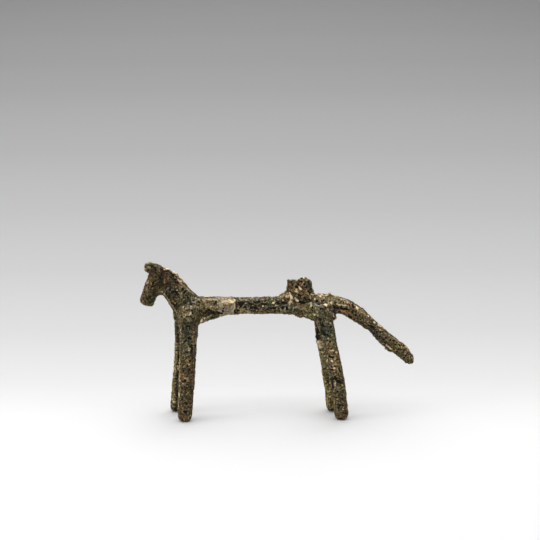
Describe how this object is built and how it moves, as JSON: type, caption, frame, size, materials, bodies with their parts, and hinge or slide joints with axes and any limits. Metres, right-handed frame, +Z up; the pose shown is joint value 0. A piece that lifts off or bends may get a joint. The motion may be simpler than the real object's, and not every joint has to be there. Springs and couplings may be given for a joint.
{
  "type": "horse figurine",
  "caption": "Small solid-cast bronze horse made of rolled rods: level barrel, splayed straight legs, blunt head, bent tail and the stump of a lost load; stands on its feet as an ornament.",
  "frame": {"origin": "on the ground, under the middle of the bounding box", "axes": "+Z up, -X towards the head, -Y towards the left flank"},
  "size_m": [0.0948, 0.0144, 0.0554],
  "materials": {
    "bronze": "corroded bronze: a matt olive-brown and near-black speckled patina with pale dust on the tops, bare metal on a few high spots and a grey-white repaired band round the barrel"
  },
  "bodies": {
    "root": {"horse": "bronze"}
  },
  "joints": []
}
